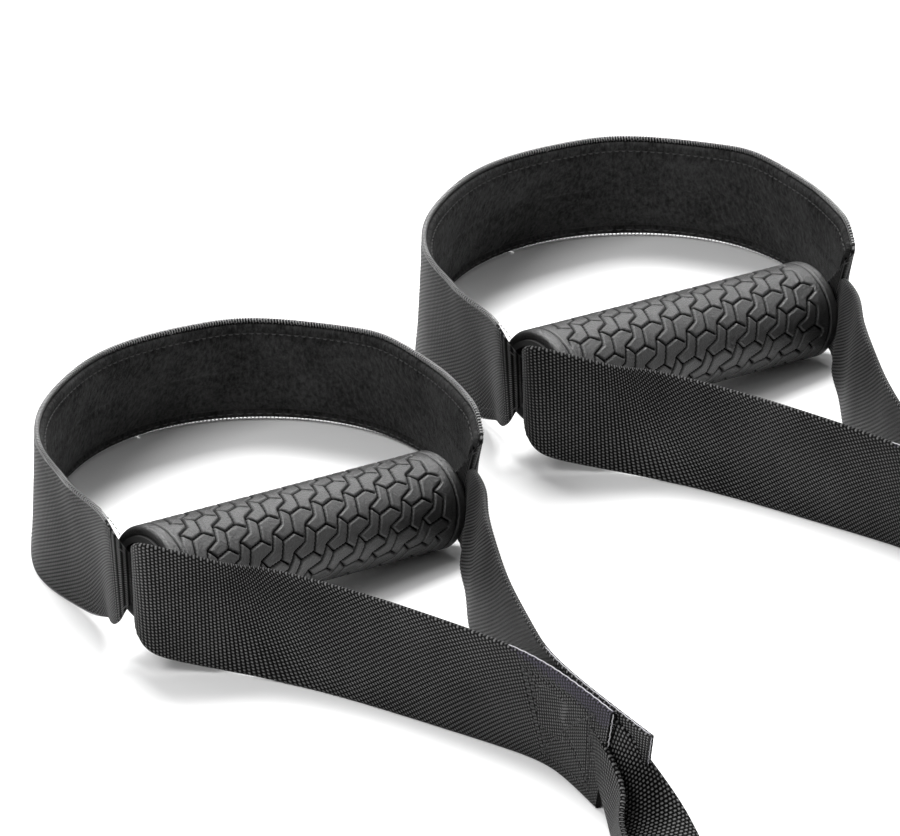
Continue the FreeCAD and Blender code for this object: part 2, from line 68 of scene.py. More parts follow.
def addCamera(view):
    # the camera stands back from its aim along (sin a cos e, -cos a cos e, sin e)
    turn = math.radians(view["azimuth"])
    rise = math.radians(view["elevation"])
    back = Vector((math.sin(turn) * math.cos(rise), -math.cos(turn) * math.cos(rise),
                   math.sin(rise)))
    data = bpy.data.cameras.new("mainCamera")
    data.lens = view["lens"]
    data.sensor_width = 36
    data.clip_end = 50
    camera = bpy.data.objects.new("mainCamera", data)
    aim = Vector(datum + np.array(view["aim"]) * mm)
    camera.location = aim + back * view["distance"]
    camera.rotation_euler = back.to_track_quat("Z", "Y").to_euler()
    bpy.context.scene.collection.objects.link(camera)
    bpy.context.scene.camera = camera


addCamera(cameraView)
print("camera placed")

# ---- surface tools


def splineThrough(points, count):
    # natural cubic spline through rows of points, read at count places evenly spaced along it
    points = np.asarray(points, float)
    steps = np.linalg.norm(np.diff(points[:, :3], axis=0), axis=1)
    knots = np.concatenate([[0], np.cumsum(steps)])
    n = len(points)
    gaps = np.diff(knots)
    system = np.eye(n)
    rhs = np.zeros_like(points)
    inner = np.arange(1, n - 1)
    system[inner, inner - 1] = gaps[:-1]
    system[inner, inner] = 2 * (gaps[:-1] + gaps[1:])
    system[inner, inner + 1] = gaps[1:]
    slopes = np.diff(points, axis=0) / gaps[:, None]
    rhs[1:-1] = 6 * np.diff(slopes, axis=0)
    bend = np.linalg.solve(system, rhs)

    def at(t):
        k = np.clip(np.searchsorted(knots, t, side="right") - 1, 0, n - 2)
        g = gaps[k][:, None]
        a = (knots[k + 1] - t)[:, None] / g
        b = 1 - a
        return (a * points[k] + b * points[k + 1]
                + ((a ** 3 - a) * bend[k] + (b ** 3 - b) * bend[k + 1]) * g * g / 6)

    fine = np.linspace(0, knots[-1], 1200)
    track = at(fine)
    rail = track[:, :3]
    if points.shape[1] > 3:     # several rails side by side: even spacing along their middle
        rail = track.reshape(len(track), -1, 3).mean(1)
    along = np.concatenate([[0], np.cumsum(np.linalg.norm(np.diff(rail, axis=0), axis=1))])
    return at(np.interp(np.linspace(0, along[-1], count), along, fine)), along[-1]


def meshOf(name, points, faces, material, uv=None, smooth=True):
    # puts flat arrays of points, faces of equal size and corner coordinates into a mesh
    mesh = bpy.data.meshes.new(name)
    points = np.asarray(points, np.float32).reshape(-1, 3)
    faces = np.asarray(faces, np.int32)
    sides = faces.shape[1]
    mesh.vertices.add(len(points))
    mesh.vertices.foreach_set("co", points.ravel())
    mesh.loops.add(faces.size)
    mesh.loops.foreach_set("vertex_index", faces.ravel())
    mesh.polygons.add(len(faces))
    mesh.polygons.foreach_set("loop_start", np.arange(0, faces.size, sides, dtype=np.int32))
    mesh.polygons.foreach_set("use_smooth", np.full(len(faces), smooth))
    if uv is not None:
        layer = mesh.uv_layers.new(name="weave")
        layer.data.foreach_set("uv", np.asarray(uv, np.float32).ravel())
    mesh.update(calc_edges=True)
    mesh.validate()
    mesh.materials.append(material)
    piece = bpy.data.objects.new(name, mesh)
    bpy.context.scene.collection.objects.link(piece)
    return piece


def gridFaces(rows, columns, closeRows=False, closeColumns=False):
    # quads (r, c), (r+1, c), (r+1, c+1), (r, c+1), wrapped round where a side is closed
    r = np.arange(rows if closeRows else rows - 1)
    c = np.arange(columns if closeColumns else columns - 1)
    r, c = np.meshgrid(r, c, indexing="ij")
    nextR = (r + 1) % rows
    nextC = (c + 1) % columns
    quads = [r * columns + c, nextR * columns + c, nextR * columns + nextC, r * columns + nextC]
    corners = [(r, c), (r + 1, c), (r + 1, c + 1), (r, c + 1)]
    return (np.stack(quads, -1).reshape(-1, 4),
            np.stack([np.stack(pair, -1) for pair in corners], -2).reshape(-1, 4, 2))


weave = {
    "cell": 1.25, "relief": 0.2,    # mm between ribs, and how high each bead stands
    "guideRows": 400,       # places along a guide that only carries threads
}


def beads(u, v):
    # ribs |sin pi u| across the band, notched into beads along v, every other rib half a bead up
    column = np.floor(u)
    notch = np.abs(np.sin(np.pi * (v + 0.5 * (column % 2))))
    return np.abs(np.sin(np.pi * u)) ** 0.7 * (0.15 + 0.85 * notch ** 0.7)


def evenly(length, step):
    # a whole number of ribs over a length, and how many steps each rib takes
    perRib = max(1, round(weave["cell"] / step))
    return max(2, round(length / weave["cell"])), perRib


def ribbon(name, rails, thick, material, stepAlong, stepAcross, fineFaces=(), closed=False,
           softness=0.03, bulge=None, shift=0.0, relief=weave["relief"], span=(0.0, 1.0)):
    # A band carried along its rails. Section: up the outer face, round the top edge, down the
    # inner face and round the bottom edge; each point is the rail line + normal * half thickness.
    rails = [np.asarray(rail, float) for rail in rails]
    stacked = np.concatenate(rails, 1)
    if closed:
        stacked = np.concatenate([stacked, stacked[:1]])
    length = splineThrough(stacked, 2)[1]
    ribs, perRib = evenly(length, stepAlong)
    rows = ribs * perRib + 1
    lines, length = splineThrough(stacked, rows)
    lines = lines[round(span[0] * rows):round(span[1] * rows)].reshape(-1, len(rails), 3)
    rows = len(lines)
    length *= span[1] - span[0]
    width = np.linalg.norm(np.diff(lines, axis=1), axis=2).sum(1).mean()
    half = thick / 2
    beadsAcross, perBead = evenly(width - thick, stepAcross)
    flat = beadsAcross * perBead + 1
    edge = half / width
    face = np.linspace(edge, 1 - edge, flat)
    turn = np.linspace(0, np.pi, 6)[1:-1]
    place = np.concatenate([face, 1 - edge + edge * np.sin(turn), face[::-1],
                            edge - edge * np.sin(turn)])
    out = np.concatenate([np.full(flat, half), half * np.cos(turn), np.full(flat, -half),
                          -half * np.cos(turn)])
    side = np.concatenate([np.full(flat, 1), np.zeros(4), np.full(flat, -1), np.zeros(4)])

    def across(w):
        # rail lines joined straight, with the creases between them rounded off
        marks = np.linspace(0, 1, len(rails))
        total = 0
        for offset, share in ((-softness, 0.25), (0, 0.5), (softness, 0.25)):
            at = np.clip(w + offset, 0, 1) if len(rails) > 2 else w
            k = np.clip(np.searchsorted(marks, at, side="right") - 1, 0, len(rails) - 2)
            f = (at - marks[k]) / (marks[k + 1] - marks[k])
            total = total + share * (lines[:, k] * (1 - f[:, None]) + lines[:, k + 1]
                                     * f[:, None])
        return total

    base = across(place)
    ahead = np.gradient(base, axis=0)
    if closed:
        ahead = (np.roll(base, -1, 0) - np.roll(base, 1, 0))
        ahead[0] = ahead[-1] = base[1] - base[-2]
    up = across(np.clip(place + 0.02, 0, 1)) - across(np.clip(place - 0.02, 0, 1))
    normal = np.cross(ahead, up)
    normal /= np.linalg.norm(normal, axis=2)[:, :, None]
    u = (np.arange(rows) / perRib)[:, None] + 0 * place[None]
    v = ((place - edge) / (1 - 2 * edge) * beadsAcross)[None] + 0 * u
    bump = beads(u, v) * relief
    show = np.isin(side, fineFaces) if len(fineFaces) else np.zeros(len(side), bool)
    lift = out[None] + np.where(show[None], bump * side[None], 0) + shift
    if bulge is not None:
        lift = lift + bulge(np.linspace(0, 1, rows)[:, None], place[None], side[None])
    points = base + normal * lift[:, :, None]
    points[..., 2] = np.maximum(points[..., 2], 0.02)       # pressed flat where it meets the floor
    if closed:
        points = points[:-1]
    faces, corners = gridFaces(len(points), len(place), closed, True)
    uvTable = np.stack([np.concatenate([u, u[-1:] + 0.5]), np.concatenate([v, v[-1:]])], -1)
    uvTable = np.concatenate([uvTable, uvTable[:, :1]], 1)
    uv = uvTable[corners[..., 0], corners[..., 1]]
    faces = faces[:, ::-1]
    uv = uv[:, ::-1]
    caps = []
    if not closed:      # the cut ends are closed face to face
        m = len(place)
        for start, order in ((0, 1), ((rows - 1) * m, -1)):
            k = np.arange(flat - 1)
            other = 2 * flat + 3 - k
            caps.append(np.stack([k, k + 1, other - 1, other], 1)[:, ::order] + start)
            ring = np.arange(flat - 1, flat + 5)
            caps.append(np.array([[ring[0], ring[1], ring[4], ring[5]],
                                  [ring[1], ring[2], ring[3], ring[4]]])[:, ::order] + start)
            ring = np.concatenate([np.arange(2 * flat + 3, 2 * flat + 8), [0]])
            caps.append(np.array([[ring[0], ring[1], ring[4], ring[5]],
                                  [ring[1], ring[2], ring[3], ring[4]]])[:, ::order] + start)
        caps = np.concatenate(caps)
        flatUv = np.stack([u, v], -1).reshape(-1, 2)
        faces = np.concatenate([faces, caps])
        uv = np.concatenate([uv, flatUv[caps]])
    piece = meshOf(name, points * mm + datum, faces, material, uv)
    piece["weaveLength"] = float(length)
    return piece, (lines, width, length)


def guideOf(rails):
    # the rail lines alone, for threads laid along a band that is built in parts
    lines, length = splineThrough(np.concatenate(rails, 1), weave["guideRows"])
    lines = lines.reshape(-1, len(rails), 3)
    return lines, np.linalg.norm(np.diff(lines, axis=1), axis=2).sum(1).mean(), length


def onRibbon(guide, s, w, lift):
    # point and directions on a ribbon's middle surface: s along it, w across it, lift outwards
    lines, width, length = guide
    rows = len(lines)
    place = s * (rows - 1)
    k = np.clip(place.astype(int), 0, rows - 2)
    f = (place - k)[:, None, None]
    section = lines[k] * (1 - f) + lines[k + 1] * f
    ahead = (lines[k + 1] - lines[k]).mean(1)
    count = section.shape[1] - 1
    j = np.clip((w * count).astype(int), 0, count - 1)
    g = (w * count - j)[:, None]
    n = np.arange(len(s))
    point = section[n, j] * (1 - g) + section[n, j + 1] * g
    up = section[n, j + 1] - section[n, j]
    ahead /= np.linalg.norm(ahead, axis=1)[:, None]
    normal = np.cross(ahead, up)
    normal /= np.linalg.norm(normal, axis=1)[:, None]
    up = np.cross(normal, ahead)
    return point + normal * np.reshape(lift, (-1, 1)), ahead, up, normal


def threads(name, paths, radius, material, sides=4):
    # short tubes: paths is (count, points, 3); a ring of sides round each point, ends pinched
    paths = np.asarray(paths, float)
    count, n = paths.shape[:2]
    ahead = np.gradient(paths, axis=1)
    ahead /= np.linalg.norm(ahead, axis=2)[..., None]
    helper = np.where(np.abs(ahead[..., 2:]) > 0.8, np.array([1.0, 0, 0]), np.array([0, 0, 1.0]))
    first = np.cross(ahead, helper)
    first /= np.linalg.norm(first, axis=2)[..., None]
    second = np.cross(ahead, first)
    around = np.arange(sides) * 2 * np.pi / sides
    size = radius * np.interp(np.arange(n), [0, 0.6, n - 1.6, n - 1], [0.25, 1, 1, 0.25])
    ring = (first[:, :, None] * np.cos(around)[:, None]
            + second[:, :, None] * np.sin(around)[:, None]) * size[None, :, None, None]
    points = paths[:, :, None] + ring
    faces, _ = gridFaces(n, sides, False, True)
    ends = np.array([np.arange(sides)[::-1], np.arange(sides) + (n - 1) * sides])
    one = np.concatenate([faces, ends]) if sides == 4 else faces
    every = (one[None] + (np.arange(count) * n * sides)[:, None, None]).reshape(-1, 4)
    return meshOf(name, points.reshape(-1, 3) * mm + datum, every[:, ::-1], material)


def settle(piece, body, slotName, *nodes):
    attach(piece, body)
    if nodes:
        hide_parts(*nodes)
    return piece


# ---- materials


class Nodes:
    # a small helper that adds nodes and joins them
    def __init__(self, name):
        self.material = bpy.data.materials.new(name)
        self.material.use_nodes = True
        self.tree = self.material.node_tree
        self.shader = self.tree.nodes["Principled BSDF"]

    def add(self, kind, **settings):
        node = self.tree.nodes.new(kind)
        for key, setting in settings.items():
            setattr(node, key, setting)
        return node

    def join(self, source, target):
        self.tree.links.new(source, target)

    def math(self, operation, first, second=None):
        node = self.add("ShaderNodeMath", operation=operation)
        for socket, term in zip(node.inputs, (first, second)):
            if isinstance(term, bpy.types.NodeSocket):
                self.join(term, socket)
            elif term is not None:
                socket.default_value = term
        return node.outputs[0]

    def noise(self, vector, scale, detail=3.0, roughness=0.55):
        node = self.add("ShaderNodeTexNoise")
        self.join(vector, node.inputs["Vector"])
        node.inputs["Scale"].default_value = scale
        node.inputs["Detail"].default_value = detail
        node.inputs["Roughness"].default_value = roughness
        return node.outputs["Fac"]

    def ramp(self, factor, stops):
        node = self.add("ShaderNodeValToRGB")
        self.join(factor, node.inputs["Fac"])
        elements = node.color_ramp.elements
        while len(elements) < len(stops):
            elements.new(0.5)
        for element, (place, tone) in zip(elements, stops):
            element.position = place
            element.color = (*tone, 1) if isinstance(tone, tuple) else (tone, tone, tone, 1)
        return node.outputs["Color"]

    def bump(self, height, distance, strength=1.0, under=None):
        node = self.add("ShaderNodeBump")
        self.join(height, node.inputs["Height"])
        node.inputs["Distance"].default_value = distance
        node.inputs["Strength"].default_value = strength
        if under is not None:
            self.join(under, node.inputs["Normal"])
        return node.outputs["Normal"]

    def place(self):
        return self.add("ShaderNodeTexCoord").outputs["Object"]

    def stretched(self, vector, scale):
        node = self.add("ShaderNodeMapping")
        self.join(vector, node.inputs["Vector"])
        node.inputs["Scale"].default_value = scale
        return node.outputs["Vector"]

    def set(self, **sockets):
        for key, setting in sockets.items():
            self.shader.inputs[key.replace("_", " ")].default_value = setting


def webbingMaterial(name, look):
    # beads |sin pi u| * |sin pi (v + half a bead in odd columns)|, with painted shade between and a
    # painted highlight on top
    n = Nodes(name)
    uv = n.add("ShaderNodeUVMap", uv_map="weave").outputs["UV"]
    parts = n.add("ShaderNodeSeparateXYZ")
    n.join(uv, parts.inputs[0])
    u, v = parts.outputs[0], parts.outputs[1]
    odd = n.math("MODULO", n.math("FLOOR", u), 2.0)
    raised = n.math("ADD", v, n.math("MULTIPLY", odd, 0.5))
    across = n.math("ABSOLUTE", n.math("SINE", n.math("MULTIPLY", u, math.pi)))
    along = n.math("ABSOLUTE", n.math("SINE", n.math("MULTIPLY", raised, math.pi)))
    notch = n.math("ADD", n.math("MULTIPLY", n.math("POWER", along, 0.7), 0.85), 0.15)
    bead = n.math("MULTIPLY", n.math("POWER", across, 0.7), notch)
    fibre = n.noise(n.stretched(uv, (4.0, 1.2, 1.0)), 3.0, 2.0)
    height = n.math("ADD", bead, n.math("MULTIPLY", fibre, look["fibre"]))
    broad = n.noise(n.place(), 35.0, 2.0)
    tone = n.math("ADD", n.math("MULTIPLY", height, 0.75), n.math("MULTIPLY", broad, 0.25))
    # the ramp turns bead height into colour: painted shade deep in the gaps, a painted highlight on
    # the bead tops
    n.join(n.ramp(tone, [(0.35, look["deep"]), (0.68, look["body"]), (0.94, look["top"])]),
           n.shader.inputs["Base Color"])
    n.join(n.bump(height, look["bump"]), n.shader.inputs["Normal"])
    n.join(n.math("ADD", n.math("MULTIPLY", fibre, 0.2), look["roughness"]),
           n.shader.inputs["Roughness"])
    n.set(Sheen_Weight=look["sheen"], Sheen_Roughness=0.4, Specular_IOR_Level=look["shine"])
    return n.material


def fleeceMaterial(name, look):
    # short nap: fine noise stretched up the band over soft blotches
    n = Nodes(name)
    uv = n.add("ShaderNodeUVMap", uv_map="weave").outputs["UV"]
    nap = n.noise(n.stretched(uv, (1.0, 0.5, 1.0)), 0.8, 5.0, 0.8)
    blotch = n.noise(n.place(), 60.0, 3.0)
    tone = n.math("ADD", n.math("MULTIPLY", nap, 0.75), n.math("MULTIPLY", blotch, 0.25))
    n.join(n.ramp(tone, [(0.4, look["deep"]), (0.62, look["top"])]),
           n.shader.inputs["Base Color"])
    n.join(n.bump(nap, look["bump"]), n.shader.inputs["Normal"])
    n.set(Roughness=0.9, Sheen_Weight=look["sheen"], Sheen_Roughness=0.5,
          Specular_IOR_Level=0.15)
    return n.material


def rubberMaterial(name, look):
    # Fine moulding grain, a painted highlight on edges where the surface bends outwards and painted
    # shade where it bends inwards.
    # A sunk share from 0 to 1, if the piece has one, paints shade into its grooves and a painted
    # highlight on their lips.
    n = Nodes(name)
    grain = n.noise(n.place(), look["grain"], 4.0, 0.7)
    broad = n.noise(n.place(), 45.0, 3.0)
    paintedBendLight = n.add("ShaderNodeNewGeometry").outputs["Pointiness"]
    tone = n.math("ADD", n.math("MULTIPLY", grain, 0.5), n.math("MULTIPLY", broad, 0.3))
    # painted highlight on outward bends, painted shade in inward bends, read from the pointiness
    edge = n.math("MULTIPLY", n.math("SUBTRACT", paintedBendLight, 0.5), 2.0)
    if "lips" in look:
        parts = n.add("ShaderNodeSeparateXYZ")
        n.join(n.add("ShaderNodeUVMap", uv_map="weave").outputs["UV"], parts.inputs[0])
        sunk = parts.outputs[0]
        # lips ramp: painted shade down in the grooves and a painted highlight on their lips
        lips = n.ramp(sunk, look["lips"])
        n.join(n.math("MULTIPLY", n.math("SUBTRACT", 1.0, sunk), look["shine"]),
               n.shader.inputs["Specular IOR Level"])
        edge = n.math("ADD", edge, n.math("SUBTRACT", lips, 0.5))
    n.join(n.ramp(n.math("ADD", tone, edge),
                  [(0.2, look["deep"]), (0.45, look["body"]), (0.75, look["top"])]),
           n.shader.inputs["Base Color"])
    n.join(n.bump(grain, look["bump"]), n.shader.inputs["Normal"])
    n.join(n.math("ADD", n.math("MULTIPLY", broad, 0.25), look["roughness"]),
           n.shader.inputs["Roughness"])
    n.set(Specular_IOR_Level=look["shine"])
    return n.material


def metalMaterial(name, look):
    # brushed lines: noise squeezed along one direction moves both tone and roughness
    n = Nodes(name)
    brushed = n.noise(n.stretched(n.place(), look["brush"]), 900.0, 3.0)
    smudge = n.noise(n.place(), 90.0, 4.0)
    tone = n.math("ADD", n.math("MULTIPLY", brushed, 0.5), n.math("MULTIPLY", smudge, 0.5))
    n.join(n.ramp(tone, [(0.3, look["deep"]), (0.7, look["top"])]),
           n.shader.inputs["Base Color"])
    n.join(n.math("ADD", n.math("MULTIPLY", smudge, 0.25), look["roughness"]),
           n.shader.inputs["Roughness"])
    n.join(n.bump(brushed, 0.00002), n.shader.inputs["Normal"])
    n.set(Metallic=look["metal"], Specular_IOR_Level=0.5)
    return n.material


finishes = {
    # webbing tones: deep is painted shade between the beads, top a painted highlight on them
    "webbing": webbingMaterial("blackWebbing", {
        "deep": 0.0003, "body": 0.005, "top": 0.15, "fibre": 0.35, "bump": 0.0009,
        "roughness": 0.36, "sheen": 0.0, "shine": 0.09}),
    "tinted": webbingMaterial("indigoTinge", {
        "deep": (0.001, 0.0008, 0.0016), "body": (0.007, 0.006, 0.010),
        "top": (0.09, 0.083, 0.115), "fibre": 0.6, "bump": 0.0012, "roughness": 0.4,
        "sheen": 0.0, "shine": 0.20}),
    "frayed": rubberMaterial("frayedThread", {
        "deep": (0.06, 0.055, 0.08), "body": (0.22, 0.21, 0.27), "top": 0.55,
        "grain": 1800.0, "bump": 0.0001, "roughness": 0.4, "shine": 0.5}),
    "lining": fleeceMaterial("blackFleece", {
        "deep": 0.0008, "top": 0.042, "bump": 0.0016, "sheen": 0.02}),
    "tie": fleeceMaterial("hookTape", {
        "deep": 0.006, "top": 0.035, "bump": 0.0008, "sheen": 0.10}),
    "thread": rubberMaterial("polyesterThread", {
        "deep": 0.02, "body": 0.10, "top": 0.35, "grain": 2500.0, "bump": 0.0001,
        "roughness": 0.35, "shine": 0.6}),
    "darkThread": rubberMaterial("blackThread", {
        "deep": 0.006, "body": 0.014, "top": 0.05, "grain": 2500.0, "bump": 0.0001,
        "roughness": 0.4, "shine": 0.5}),
    "rubber": rubberMaterial("gripRubber", {
        "deep": 0.003, "body": 0.014, "top": 0.050, "grain": 1300.0, "bump": 0.0004,
        "roughness": 0.22, "shine": 0.85,
        # lips: painted highlight beside the grooves, painted shade down in them
        "lips": [(0.0, 0.5), (0.08, 0.95), (0.3, 0.1), (1.0, 0.0)]}),
    "core": rubberMaterial("hardPlastic", {
        "deep": 0.008, "body": 0.016, "top": 0.03, "grain": 900.0, "bump": 0.00005,
        "roughness": 0.35, "shine": 0.5}),
    "nylon": rubberMaterial("turnedNylon", {
        "deep": 0.012, "body": 0.022, "top": 0.05, "grain": 700.0, "bump": 0.00008,
        "roughness": 0.32, "shine": 0.5}),
    "foam": rubberMaterial("closedFoam", {
        "deep": 0.008, "body": 0.02, "top": 0.045, "grain": 1100.0, "bump": 0.0006,
        "roughness": 0.75, "shine": 0.25}),
    "plated": metalMaterial("platedSteel", {
        "deep": 0.20, "top": 0.38, "brush": (0.06, 1.0, 1.0), "roughness": 0.30, "metal": 1.0}),
    "forged": metalMaterial("forgedSteel", {
        "deep": 0.16, "top": 0.34, "brush": (1.0, 1.0, 0.3), "roughness": 0.30, "metal": 1.0}),
    "hook": metalMaterial("satinAlloy", {
        "deep": 0.24, "top": 0.42, "brush": (0.1, 1.0, 0.4), "roughness": 0.33, "metal": 1.0}),
    "spring": metalMaterial("springWire", {
        "deep": 0.20, "top": 0.40, "brush": (1.0, 1.0, 1.0), "roughness": 0.18, "metal": 1.0}),
    "brass": metalMaterial("sinteredBush", {
        "deep": (0.42, 0.28, 0.09), "top": (0.70, 0.50, 0.20), "brush": (1.0, 1.0, 1.0),
        "roughness": 0.38, "metal": 1.0}),
}
hardware = {
    "core": ("front_core_tube", "rear_core_tube", "anchor_core"),
    "plated": ("block_bracket", "roller_washers", "axle_bolt", "axle_nut", "swivel_nut",
               "gate_pin"),
    "forged": ("swivel_eye",), "hook": ("hook_body", "hook_gate"), "spring": ("gate_spring",),
    "nylon": ("block_roller",), "brass": ("roller_bearings",),
}
for finish, names in hardware.items():
    for node in names:
        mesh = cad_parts[node].data
        mesh.materials.clear()
        mesh.materials.append(finishes[finish])
print("materials made")

# ---- rubber grips with sunk tile lines
grip = {
    "length": 127.5, "radius": 16.75, "bore": 13.5, "height": 24.0, "tilt": 6.5,
    "collar": 4.6,          # smooth band at each end
    "plain": (7.2, 8.2),    # where the tile lines stop, from the near and the far end
    "across": 14.22,        # tile spacing along the grip
    "rows": 13,             # tile rows round the grip
    "start": (-2.84, 152.0),    # a corner of the pattern: mm along, degrees round
    "line": 0.44,           # half the width of a sunk line
    "depth": 0.8,
    "roundEnd": 1.3,
}
# a tile's sunk lines, in mm along and round the grip from its corner
tileLines = [((0, 0), (5.33, 1.78)), ((5.33, 1.78), (7.11, 8.22)), ((0, 0), (-3.22, 3.33)),
             ((-3.22, 3.33), (1.78, 5.78)), ((1.78, 5.78), (3.89, 11.56)),
             ((5.33, 1.78), (8.44, -0.33))]


def lineDistance(x, s):
    # least distance from each place to the lines of its own tile and the tiles around it
    around = 2 * math.pi * grip["radius"]
    rowStep = around / grip["rows"]
    stretch = rowStep / 8.22
    startX, startTurn = grip["start"]
    s = s - (360 - startTurn) / 360 * around
    x = x - startX
    row = np.floor(s / rowStep)
    x = x - row * grip["across"] / 2
    s = s - row * rowStep
    x = x - np.floor(x / grip["across"]) * grip["across"]
    nearest = np.full(x.shape, 99.0)
    for down in (-2, -1, 0, 1):
        for over in (-2, -1, 0, 1, 2):
            shiftX = over * grip["across"] + down * grip["across"] / 2
            for (ax, ay), (bx, by) in tileLines:
                px, py = x - ax - shiftX, s - (ay + down * 8.22) * stretch
                dx, dy = bx - ax, (by - ay) * stretch
                t = np.clip((px * dx + py * dy) / (dx * dx + dy * dy), 0, 1)
                nearest = np.minimum(nearest, np.hypot(px - t * dx, py - t * dy))
    return nearest


def makeGrip(side):
    # Sleeve: radius r(x, a) = R - groove(distance to the tile lines) - collar lines, turned
    # about the tilted axis; then round each end into the bore and back along it.
    half = grip["length"] / 2
    x = np.linspace(-half + grip["roundEnd"], half - grip["roundEnd"], 318)
    turn = np.linspace(0, 2 * math.pi, 262, endpoint=False)
    arc = (2 * math.pi - turn) * grip["radius"]
    gx, gs = np.meshgrid(x, arc, indexing="ij")
    distance = lineDistance(gx, gs)
    fall = np.clip((distance - grip["line"] + 0.22) / 0.34, 0, 1)
    groove = grip["depth"] * (1 - fall * fall * (3 - 2 * fall))
    pillow = 0.07 * np.exp(-((distance - 1.0) / 0.6) ** 2)
    nearEnd, farEnd = grip["plain"]
    jag = 0.9 * np.sin(gs / 2.6)
    inside = (np.clip(gx + half - nearEnd + jag, 0, 1)
              * np.clip(half - farEnd - gx + jag, 0, 1))
    collar = np.minimum(np.abs(gx + half - grip["collar"]), np.abs(half - grip["collar"] - gx))
    ring = 0.55 * np.exp(-(collar / 0.42) ** 2)
    radius = grip["radius"] - groove * inside + (pillow - 0.07) * inside - ring
    parting = 0.12 * np.exp(-((gs - 2 * math.pi * grip["radius"] * 0.98) / 0.4) ** 2)
    radius = radius + parting
    body = np.stack([gx, radius, np.broadcast_to(turn, gx.shape)], -1)
    bend = np.linspace(0, math.pi / 2, 6)[1:]
    ends = []
    for hand in (1, -1):
        rim = [(hand * (half - grip["roundEnd"] * (1 - math.sin(b))),
                grip["radius"] - 0.1 - grip["roundEnd"] * (1 - math.cos(b))) for b in bend]
        rim += [(hand * half, grip["bore"] + 0.5), (hand * (half - 0.5), grip["bore"]),
                (hand * (half - 6), grip["bore"])]
        rim = np.array(rim)
        rows = np.stack([np.repeat(rim[:, :1], len(turn), 1), np.repeat(rim[:, 1:], len(turn), 1),
                         np.broadcast_to(turn, (len(rim), len(turn)))], -1)
        ends.append(rows if hand > 0 else rows[::-1])
    shell = np.concatenate([ends[1], body, ends[0]])
    along, reach, angle = shell[..., 0], shell[..., 1], shell[..., 2]
    tilt = math.radians(grip["tilt"])
    axis = np.array([math.cos(tilt), 0, -math.sin(tilt)])
    rise = np.array([math.sin(tilt), 0, math.cos(tilt)])
    radial = np.cos(angle)[..., None] * np.array([0, 1.0, 0]) + np.sin(angle)[..., None] * rise
    centre = np.array([0, 0, grip["height"]])
    points = centre + along[..., None] * axis + reach[..., None] * radial
    faces, _ = gridFaces(len(shell), len(turn), True, True)
    # sunk share of each point, which the rubber finish turns into painted shade in the grooves and
    # a painted highlight on their lips
    sunk = np.zeros(shell.shape[:2])
    sunk[len(ends[1]):len(ends[1]) + len(x)] = np.maximum(groove * inside / grip["depth"],
                                                          ring / 0.55)
    uv = np.stack([sunk.ravel()[faces], np.zeros(faces.shape)], -1)
    piece = meshOf(side + "_grip", points * mm + datum + shifts[side], faces, finishes["rubber"],
                   uv)
    return settle(piece, side + "_grip", "grip_rubber", side + "_grip_sleeve")


# ---- handle straps: lower and upper rails in mm from the datum
handle = {
    "webThick": 1.9, "loopThick": 1.1, "liningThick": 2.5, "hem": 0.03,
    "liningSpan": (0.10, 0.935),   # the fleece stops short of both ends of the band
    "nearLow": [(-49, -1, 21), (-57, -1, 22), (-65.5, -1.2, 22.5), (-69.3, -3.5, 15),
                (-68.3, -7.5, 9), (-62, -12.5, 5), (-50, -24, 1.5), (-35, -54, 0),
                (-25, -91, 0), (-18, -121, 0), (-15.5, -141, 0), (-19, -158, 0),
                (-23.9, -173.6, 0)],
    "nearHigh": [(-49, -1, 38), (-57, -1.2, 39.5), (-65.8, -1.8, 40), (-73, -6, 48),
                 (-74.5, -12, 51.3), (-68.5, -18.5, 49.5), (-57, -28, 45), (-45, -37, 42),
                 (-32, -65, 40), (-24, -102, 40), (-20.2, -133, 40), (-22.2, -158, 40),
                 (-27.6, -184.7, 40)],
    "farLow": [(50, -1, 9.5), (60, -1, 8.2), (66.5, -1.5, 7.5), (67.8, -9, 2), (59, -19, 1),
               (49, -32, 0), (31, -54, 0), (14, -82, 0), (0, -110, 0), (-10, -135, 0),
               (-13.5, -158, 0), (-16, -186, 3)],
    "farHigh": [(50, -1, 27), (60, -1, 26), (66.8, -2, 26), (68.5, -10, 30), (64.5, -19, 34),
                (55, -33, 37.5), (40.5, -50.5, 39.5), (24, -73, 40), (9, -96, 40), (-5.5, -122, 40),
                (-16.5, -147, 40), (-27.8, -202.4, 38.5)],
    "loopLow": [(-49, 1.5, 22), (-57, 1.5, 23), (-65.8, 2, 23.5), (-68.5, 5.5, 15),
                (-64.5, 14, 9.5),
                (-59, 22, 6.5), (-56, 31, 2.8), (-53.5, 45, 0.4), (-49, 68, 0.2),
                (-39, 84, 0), (-19, 104, 0), (5, 120, 0), (32, 128, 0), (56, 126, 0),
                (81, 113, 0), (97, 96, 0), (106, 75, 0), (107, 56, 0), (102, 33, 0.5),
                (92, 13, 1), (82, 0, 3), (75.5, -6, 7), (71, -9, 13), (68, -9.5, 19),
                (67.5, -4, 16), (57, 1, 13)],
    "loopHigh": [(-49, 1.5, 37), (-57, 1.5, 38), (-66.5, 2, 39.5), (-72.5, 4, 49),
                 (-69.5, 13, 51.3),
                 (-65, 25, 50), (-62, 37, 49.8), (-58.5, 47, 50), (-50, 67, 50),
                 (-38, 82, 50), (-16, 98, 49), (10, 108.5, 48), (34, 110, 47),
                 (53, 107, 46), (71, 100, 45), (81, 85, 46), (88, 70, 47), (91, 57, 48),
                 (90.5, 38, 47.5), (87, 20, 47.5), (81, 4, 48), (75.5, -7, 48),
                 (70.5, -14.5, 46), (67, -17, 41), (68.8, -4, 25), (57, 1, 25)],
}


